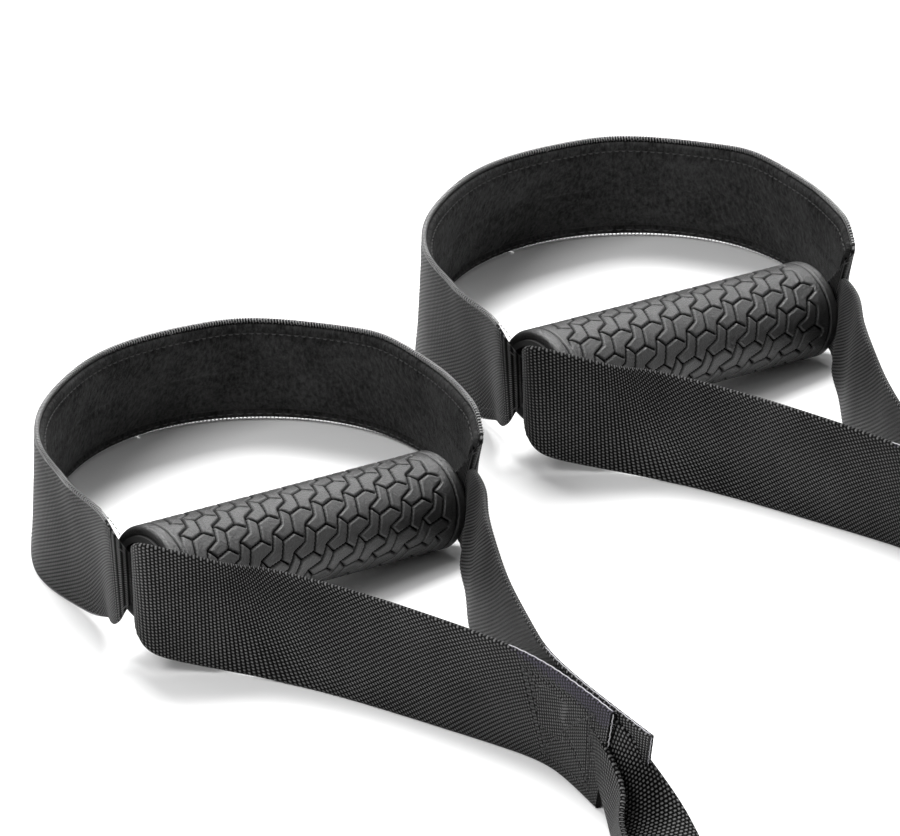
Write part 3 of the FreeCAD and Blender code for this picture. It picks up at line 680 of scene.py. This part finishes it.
def makeLoop(side):
    # Woven band outside, fleece inside, on the same rails and one each side of them. The band is
    # built in two halves that meet edge to edge, so that its weave can be fine.
    shift = shifts[side] / mm
    low = np.array(handle["loopLow"], float) + shift + (0, 0, 0.5)
    high = np.array(handle["loopHigh"], float) + shift
    for label, span in (("near", (0.0, 0.5005)), ("far", (0.5, 1.0))):
        band, _ = ribbon(f"{side}_loop_band_{label}", [low, high], handle["loopThick"],
                         finishes["webbing"], 0.63, 0.63, (-1,),
                         shift=-handle["loopThick"] / 2, span=span)
        settle(band, "straps", "webbing", side + "_foot_loop")
    guide = guideOf([low, high])

    def puff(s, w, face):
        # fleece swells between its seams: a low dome, two seam channels, one soft mid crease
        dome = 0.8 * (1 - (2 * w - 1) ** 6)
        seams = 1.1 * (np.exp(-((w - 0.09) / 0.02) ** 2) + np.exp(-((w - 0.91) / 0.02) ** 2))
        crease = 0.6 * np.exp(-((w - 0.52 - 0.02 * np.sin(9 * s)) / 0.025) ** 2)
        wave = 0.25 * np.sin(57 * s + 3 * w) + 0.15 * np.sin(131 * s - 5 * w)
        return np.where(face > 0, (dome - seams - crease + wave * dome) * 0.8, 0)

    inset = handle["hem"]
    liningLow = low + (high - low) * inset
    liningHigh = high - (high - low) * inset
    lining, _ = ribbon(side + "_lining", [liningLow, liningHigh], handle["liningThick"] - 0.8,
                       finishes["lining"], 1.2, 0.55, shift=(handle["liningThick"] - 0.8) / 2,
                       bulge=puff, span=handle["liningSpan"])
    settle(lining, "straps", "lining_fleece", side + "_loop_lining")
    makeRim(side, guide)
    makeSeams(side, guide)


rim = {
    "step": 1.15, "reach": 0.8, "radius": 0.17, "span": (0.07, 0.92),
    "seamStep": 3.0, "seamAt": 0.09, "seamRadius": 0.2,     # seam: how far in, as a share
}


def makeRim(side, guide):
    # Overlock: at each step a thread climbs the outside, crosses the rim and goes down inside,
    # leaning forwards a little; the same along the lower rim.
    lines, width, length = guide
    first, last = rim["span"]
    count = int(length * (last - first) / rim["step"])
    s = np.linspace(first, last, count)
    for label, edge, inward, finish in (("top", 1.0, -1, "thread"),
                                        ("bottom", 0.0, 1, "darkThread")):
        course = [(-0.4, rim["reach"], handle["loopThick"] + 0.05), (-0.15, 0.3, 1.3),
                  (0.1, -0.2, 0.9), (0.3, -0.2, -0.1), (0.45, 0.3, -0.3),
                  (0.6, rim["reach"], -0.4)]
        rows = []
        for ahead, down, out in course:
            place = s + ahead * rim["step"] / length
            w = np.full(count, edge + inward * down / width)
            rows.append(onRibbon(guide, np.clip(place, 0, 1), w, np.full(count, -out))[0])
        piece = threads(f"{side}_rim_{label}", np.stack(rows, 1), rim["radius"],
                        finishes[finish])
        settle(piece, "straps", "webbing")


def makeSeams(side, guide):
    # a running seam near each edge, on the band's outside and in the fleece's channels
    lines, width, length = guide
    step = rim["seamStep"]
    s = np.arange(0.05 * length, 0.95 * length, step) / length
    for label, w in (("upper", 1 - rim["seamAt"]), ("lower", rim["seamAt"])):
        for face, lift in (("outer", handle["loopThick"] + 0.12), ("inner", -2.35)):
            rows = [onRibbon(guide, s + offset * step / length, np.full(len(s), w),
                             np.full(len(s), -lift - rise * np.sign(lift)))[0]
                    for offset, rise in ((0.0, -0.2), (0.2, 0.05), (0.5, 0.05), (0.7, -0.2))]
            piece = threads(f"{side}_seam_{label}_{face}", np.stack(rows, 1),
                            rim["seamRadius"], finishes["darkThread"])
            settle(piece, "straps", "webbing")


def makeLegs(side):
    shift = shifts[side] / mm
    rails = {key: np.array(handle[key], float) + shift
             for key in ("nearLow", "nearHigh", "farLow", "farHigh")}
    near, nearGuide = ribbon(side + "_near_leg", [rails["nearLow"], rails["nearHigh"]],
                             handle["webThick"], finishes["webbing"], 0.63, 0.63, (1, -1),
                             bulge=sewnDown)
    tintJoint(near, nearGuide)
    settle(near, "straps", "webbing", side + "_grip_strap")
    far, farGuide = ribbon(side + "_far_leg", [rails["farLow"], rails["farHigh"]],
                           handle["webThick"], finishes["webbing"], 0.63, 0.63, (1, -1))
    settle(far, "straps", "webbing")
    makeCross(side, nearGuide, farGuide)
    return nearGuide, farGuide


# ---- the sewn joint
joint = {
    "start": 0.80, "end": 0.965, "low": 0.12, "high": 0.86,     # box, as shares of the leg
    "stitch": 2.6, "radius": 0.22, "sink": 0.45, "sinkWide": 0.8,
    "frayRadius": 0.16, "edgeRadius": 0.2,
}


def crossRuns():
    # the box's four sides, its doubled ends and the two diagonals, as (s, w) pairs on a leg
    a, b, c, d = joint["start"], joint["end"], joint["low"], joint["high"]
    inset = 0.012
    return [((a, c), (b, c)), ((a, d), (b, d)), ((a, c), (a, d)), ((b, c), (b, d)),
            ((a, c), (b, d)), ((a, d), (b, c)), ((a + inset, c), (a + inset, d)),
            ((b - inset, c), (b - inset, d))]


def sewnDown(s, w, face):
    # the webbing sinks along the sewn lines: -depth * exp(-(distance / width)^2)
    long, wide = 190.0, 40.0
    px, py = s * long, w * wide
    nearest = np.full(np.broadcast(px, py).shape, 99.0)
    for (s0, w0), (s1, w1) in crossRuns():
        dx, dy = (s1 - s0) * long, (w1 - w0) * wide
        t = np.clip(((px - s0 * long) * dx + (py - w0 * wide) * dy) / (dx * dx + dy * dy), 0, 1)
        nearest = np.minimum(nearest, np.hypot(px - s0 * long - t * dx, py - w0 * wide - t * dy))
    return -joint["sink"] * np.exp(-(nearest / joint["sinkWide"]) ** 2) * face


def tintJoint(piece, guide):
    # a wedge under the joint's top edge takes the tinged finish, by each face's own s and w
    lines, width, length = guide
    mesh = piece.data
    mesh.materials.append(finishes["tinted"])
    uv = np.zeros(len(mesh.loops) * 2, np.float32)
    mesh.uv_layers["weave"].data.foreach_get("uv", uv)
    first = np.zeros(len(mesh.polygons), np.int32)
    mesh.polygons.foreach_get("loop_start", first)
    uv = uv.reshape(-1, 2)[first] * weave["cell"]
    s, w = uv[:, 0] / length, uv[:, 1] / width
    depth = np.interp(s, [joint["start"] - 0.02, joint["start"], 0.99, 1], [0, 0.05, 0.20, 0.0])
    ragged = 0.02 * np.sin(uv[:, 0] * 3.1) + 0.015 * np.sin(uv[:, 0] * 7.7)
    inside = (w > 1 - depth + ragged) & (s > joint["start"] - 0.02)
    mesh.polygons.foreach_set("material_index", inside.astype(np.int32))
    mesh.update()


def fringe(name, guide, s, w):
    # short loose threads standing off a cut end, each of its own length and lean
    rows = []
    stand = rng.uniform(0.5, 1.0, (len(s), 1))
    lean = rng.normal(0, 0.25, (2, len(s), 1))
    point, ahead, up, normal = onRibbon(guide, s, w, rng.uniform(-0.7, 0.7, len(s)))
    for f in (-0.5, 0.1, 0.75):
        rows.append(point + ahead * f * stand + (up * lean[0] + normal * lean[1]) * f)
    piece = threads(name, np.stack(rows, 1), joint["frayRadius"], finishes["frayed"])
    return settle(piece, "straps", "webbing")


def edgeLine(name, guide, s, w, radius=joint["edgeRadius"]):
    # one long pale thread along a webbing's edge, with a little wander
    wander = 0.12 * np.sin(np.arange(len(s)) * 1.7)
    path = onRibbon(guide, s, w, wander)[0]
    piece = threads(name, path[None], radius, finishes["frayed"])
    return settle(piece, "straps", "webbing")


def makeCross(side, nearGuide, farGuide):
    # Box and cross: stitches spaced along the box's four sides, doubled at its ends, and two
    # diagonals, laid on the near leg's outside and the far leg's outside.
    for label, guide, hand in (("near", nearGuide, 1), ("far", farGuide, -1)):
        lines, width, length = guide
        rows = []
        for (s0, w0), (s1, w1) in crossRuns():
            long = math.hypot((s1 - s0) * length, (w1 - w0) * width)
            t = np.arange(0, long - 1, joint["stitch"]) / long
            share = joint["stitch"] * 0.72 / long
            quarter = [onRibbon(guide, s0 + (s1 - s0) * (t + f * share),
                                w0 + (w1 - w0) * (t + f * share),
                                np.full(len(t), hand * (handle["webThick"] / 2 + rise)))[0]
                       for f, rise in ((0, -0.1), (0.3, 0.2), (0.7, 0.2), (1, -0.1))]
            rows.append(np.stack(quarter, 1))
        piece = threads(f"{side}_cross_{label}", np.concatenate(rows), joint["radius"],
                        finishes["darkThread"])
        settle(piece, "straps", "webbing")
        w = np.linspace(0.55, 0.98, 24)
        fringe(f"{side}_cut_{label}", guide, np.full(len(w), 0.999), w)
        edgeLine(f"{side}_cut_line_{label}", guide, np.full(len(w), 1.0), w, 0.25)
        s = np.arange(joint["start"] - 0.02, 0.999, 1.0 / length)
        edgeLine(f"{side}_edge_{label}", guide, s, np.full(len(s), 0.999))


for side in ("front", "rear"):
    makeGrip(side)
    makeLoop(side)
    makeLegs(side)
    print(side, "handle built")

# ---- pull straps: right edge, crease and left edge; folded at the joint, opening out beyond it
pull = {
    "thick": 1.9,
    "right": [(-18, -140, 37.5), (-20, -166, 37.5), (-24.5, -192.6, 32), (-20.2, -198.5, 22.5),
              (-19.2, -208.4, 14), (-27.5, -229, 8), (-40, -254, 1), (-56, -270, 0),
              (-60, -290, 0), (-48, -314, 0), (-22, -327, 0), (12, -329, 0),
              (48, -326.4, 0.6), (84, -325.4, 1.2)],
    "crease": [(-17.8, -140, 14), (-20.5, -164, 11), (-27, -179, 6), (-31.5, -186, 3),
               (-36.2, -193.5, 1), (-44.5, -209, 1.5), (-53, -236, 6), (-59.5, -266, 18),
               (-60, -290, 20), (-48, -314, 20), (-22, -327, 20), (12, -329, 20),
               (48, -326.4, 20.6), (84, -325.4, 21.2)],
    "left": [(-19.2, -140, 34), (-22.6, -164, 31), (-27.5, -182, 26), (-32, -193.5, 20),
             (-38.5, -200.5, 15.5), (-46, -210, 12), (-57, -233, 16), (-61, -263, 36),
             (-60, -290, 40), (-48, -314, 40), (-22, -327, 40), (12, -329, 40),
             (48, -326.4, 40.6), (84, -325.4, 41.2)],
    "rearShort": [(176, -130), (174, -146), (171, -170), (171, -194), (175, -214), (177, -229),
                  (169, -240), (154, -243), (140, -243.4), (122, -243.6)],
}


def upright(path, bottom, high):
    path = np.asarray(path, float)
    low = np.column_stack([path, np.full(len(path), bottom)])
    return low, low + (0, 0, high)


frontPull, frontGuide = ribbon("front_pull", [pull["right"], pull["crease"], pull["left"]],
                               pull["thick"], finishes["webbing"], 0.63, 0.63, softness=0.06)
settle(frontPull, "straps", "webbing", "front_pull_strap")
s = np.arange(0.04, 0.3, 1.0 / frontGuide[2])
edgeLine("front_pull_edge", frontGuide, s, np.full(len(s), 0.02), 0.15)
rearLow, rearHigh = upright(pull["rearShort"], 0.0, 40.0)
rearPull, rearGuide = ribbon("rear_pull", [rearLow, rearHigh], pull["thick"],
                             finishes["webbing"], 0.9, 1.0)
settle(rearPull, "straps", "webbing", "rear_pull_strap")

# ---- folded spare webbing with a tie
hank = {
    "runs": 9, "length": 101.0, "depth": 26.6, "high": 40.0, "lift": 1.25, "pinch": 0.9,
    "front": (98, -341), "rear": (121, -259),
    "tieWide": 20.0, "tieThick": 1.2,
}


def makeHank(side):
    # To and fro along x, each run one pitch further in y; the runs are drawn together where
    # the tie holds them: y = run * pitch * (pinch + (1 - pinch) * (2x / length)^2).
    cx, cy = hank[side]
    pitch = hank["depth"] / (hank["runs"] - 1)
    half = hank["length"] / 2 - pitch
    xs = np.array([-1, -0.72, -0.4, 0, 0.4, 0.72, 1]) * half
    path = []
    for run in range(hank["runs"]):
        y = -hank["depth"] / 2 + run * pitch
        direction = 1 if run % 2 == 0 else -1
        squeeze = hank["pinch"] + (1 - hank["pinch"]) * (xs / half) ** 2
        ragged = 1.3 * math.sin(2.7 * run)
        path += [(direction * x, y * q) for x, q in zip(xs, squeeze)]
        if run < hank["runs"] - 1:
            path.append((direction * (half + pitch * 0.55 + ragged), y + pitch * 0.5))
    path = np.array(path)
    path[:, 0] += cx
    path[:, 1] += cy
    low, high = upright(path, hank["lift"], hank["high"])
    piece, _ = ribbon(side + "_hank", [low, high], 1.8, finishes["webbing"], 1.6, 2.0)
    settle(piece, "straps", "webbing", side + "_strap_hank")
    print(side, "hank holds", round(piece["weaveLength"]), "mm of webbing")
    makeTie(side, cx, cy)


def makeTie(side, cx, cy):
    # a tape wound a little more than once round the bundle: a rounded square, (y, z) corners
    wide = hank["depth"] / 2 * hank["pinch"] + 2.4
    tall = hank["high"] / 2 + 0.65
    mid = tall + hank["tieThick"] / 2
    ring = [(-0.2, 1), (0.75, 1), (0.985, 0.93), (1, 0.6), (1, -0.6), (0.97, -0.95),
            (0.75, -1), (-0.75, -1), (-0.97, -0.95), (-1, -0.6), (-1, 0.6), (-0.97, 0.95),
            (-0.75, 1.03), (0, 1.07), (0.55, 1.08)]
    grow = np.linspace(0, 0.55, len(ring))
    y = np.array([p[0] for p in ring]) * (wide + grow) + cy
    z = np.array([p[1] for p in ring]) * tall + mid
    left = np.column_stack([np.full(len(y), cx + hank["tieWide"] / 2), y, z])
    right = np.column_stack([np.full(len(y), cx - hank["tieWide"] / 2), y, z])
    piece, _ = ribbon(side + "_tie", [left, right], 1.1, finishes["tie"], 1.2, 1.2)
    settle(piece, "straps", "tie_fabric", side + "_hank_tie")


for side in ("front", "rear"):
    makeHank(side)
print("pull straps and spare webbing built")

# ---- strap over the roller
block = {"x": 215.0, "y": -300.0, "wrap": 13.3, "lift": 10.25, "high": 40.0}


def makeRun():
    # in from one hank, half a turn round the roller, out to the other hank
    bx, by, wrap, lift = block["x"], block["y"], block["wrap"], block["lift"]
    run = [(96, -325.6, 1.2), (115, -325.0, 0.8), (138, -324.6, 0), (160, -323.4, 0.8),
           (183, -319, 4.5), (204, by - wrap - 0.5, lift)]
    angles = np.radians(np.arange(0, 181, 30))
    run += [(bx + wrap * math.sin(a), by - wrap * math.cos(a), lift) for a in angles]
    run += [(204, by + wrap + 0.5, lift), (187, -280.4, 5), (171, -276.4, 1),
            (156, -275.4, 0), (141, -275.2, 0.6), (120, -274.6, 1.2)]
    low = np.array(run)
    piece, _ = ribbon("roller_webbing", [low, low + (0, 0, block["high"])], 1.9,
                      finishes["webbing"], 0.63, 0.63, (1, -1), relief=0.08)
    settle(piece, "straps", "webbing", "roller_strap")


makeRun()

# ---- door stop: foam roll and its webbing
stop = {"radius": 15.0, "bore": 6.05, "high": 56.0, "round": 2.2}
foamLow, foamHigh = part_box("anchor_foam")
beltLow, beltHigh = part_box("anchor_strap")


def makeFoam():
    # a turned profile with rounded ends; radius dented by r = R (1 - 0.012 sin 3a sin kz)
    centre = (np.array(foamLow) + np.array(foamHigh)) / 2 / mm
    bend = np.linspace(0, math.pi / 2, 6)
    soft, high, reach = stop["round"], stop["high"], stop["radius"]
    profile = [(stop["bore"], 0.6), (stop["bore"] + 0.6, 0)]
    profile += [(reach - soft + soft * math.sin(b), soft - soft * math.cos(b)) for b in bend]
    profile += [(reach, h) for h in np.linspace(soft, high - soft, 44)[1:-1]]
    profile += [(reach - soft + soft * math.cos(b), high - soft + soft * math.sin(b))
                for b in bend]
    profile += [(stop["bore"] + 0.6, high), (stop["bore"], high - 0.6)]
    profile += [(stop["bore"], high / 2)]
    profile = np.array(profile)
    turn = np.linspace(0, 2 * math.pi, 96, endpoint=False)
    r = np.repeat(profile[:, :1], len(turn), 1)
    z = np.repeat(profile[:, 1:], len(turn), 1)
    skin = np.clip((r - 11) / 3, 0, 1)
    waist = np.exp(-((z - middleOf("anchor_strap")[2] / mm) / 9) ** 4)
    r = r - skin * (0.10 + 0.08 * np.sin(5 * turn + z / 7) + 0.45 * waist
                    - 0.06 * np.sin(11 * turn - z / 3))
    points = np.stack([r * np.cos(turn), r * np.sin(turn), z], -1)
    points = points + (centre[0], centre[1], 0)
    faces, _ = gridFaces(len(profile), len(turn), True, True)
    piece = meshOf("foam_roll", points * mm, faces, finishes["foam"])
    settle(piece, "anchor", "stop_foam", "anchor_foam")


def makeBelt():
    # belt round two circles: half turns joined by tangents, closed on itself
    small, big = 10.2, 16.0
    width = 20.0
    far = middleOf("anchor_foam") / mm - datum / mm
    first = np.array(beltLow)[0] / mm - datum[0] / mm + small + 1.0
    reach = far[0] - first
    lean = math.asin((big - small) / reach)
    back = np.radians(np.linspace(90, 270, 7)) + np.array([-lean] + [0] * 5 + [lean])
    front = np.radians(np.linspace(-90, 90, 9)) + np.array([-lean] + [0] * 7 + [lean])
    loop = [(first + small * math.cos(a), small * math.sin(a)) for a in back]
    middle = [(first + reach * 0.35, -small - (big - small) * 0.35),
              (first + reach * 0.65, -small - (big - small) * 0.65)]
    loop += middle
    loop += [(first + reach + big * math.cos(a), big * math.sin(a)) for a in front]
    loop += [(x, -y) for x, y in middle[::-1]]
    loop = np.array(loop)
    bottom = np.array(beltLow)[2] / mm
    low = np.column_stack([loop[:, 0], loop[:, 1] + far[1], np.full(len(loop), bottom)])
    piece, guide = ribbon("anchor_belt", [low, low + (0, 0, width)], 1.9, finishes["webbing"],
                          0.63, 0.63, (1,), closed=True, relief=0.08)
    settle(piece, "anchor", "webbing", "anchor_strap")
    rows = []
    for mark in (0.27, 0.285, 0.88, 0.895):
        w = np.linspace(0.1, 0.85, 9)
        rows.append(np.stack([onRibbon(guide, np.full(9, mark), w + f, np.full(9, 0.95 + h))[0]
                              for f, h in ((0, -0.1), (0.02, 0.2), (0.045, 0.2), (0.06, -0.1))],
                             1))
    bars = threads("anchor_bars", np.concatenate(rows), 0.28, finishes["darkThread"])
    settle(bars, "anchor", "webbing")


makeFoam()
makeBelt()
print("door stop built")

# ---- studio
studio = {
    "world": 0.48,
    "lights": [
        # name, place from the aim in metres, size, power
        ("key", (-1.3, -0.1, 1.4), 0.7, 17.0),
        ("back", (1.1, 0.7, 1.5), 0.6, 30.0),
        ("top", (0.1, 0.5, 2.0), 0.8, 44.0),
        ("right", (1.7, -0.6, 0.9), 0.6, 8.0),
    ],
}


def makeStudio():
    aim = Vector(datum + np.array(cameraView["aim"]) * mm)
    for name, place, wide, power in studio["lights"]:
        data = bpy.data.lights.new(name, "AREA")
        data.size = wide
        data.energy = power
        lamp = bpy.data.objects.new(name, data)
        lamp.location = aim + Vector(place)
        lamp.rotation_euler = Vector(place).to_track_quat("Z", "Y").to_euler()
        bpy.context.scene.collection.objects.link(lamp)
    world = bpy.data.worlds.new("paleRoom")
    world.use_nodes = True
    world.node_tree.nodes["Background"].inputs["Color"].default_value = (1, 1, 1, 1)
    world.node_tree.nodes["Background"].inputs["Strength"].default_value = studio["world"]
    bpy.context.scene.world = world
    floor = Nodes("paleFloor")
    haze = floor.noise(floor.place(), 1.5, 2.0)
    floor.join(floor.ramp(haze, [(0.0, 0.90), (1.0, 0.94)]), floor.shader.inputs["Base Color"])
    floor.set(Roughness=0.9, Specular_IOR_Level=0.1)
    reach = 6.0
    corners = [(-reach, -reach, 0), (reach, -reach, 0), (reach, reach, 0), (-reach, reach, 0)]
    plane = meshOf("floor", corners, [[0, 1, 2, 3]], floor.material, smooth=False)
    bpy.context.scene.view_settings.view_transform = "Standard"


makeStudio()
print("studio lit")
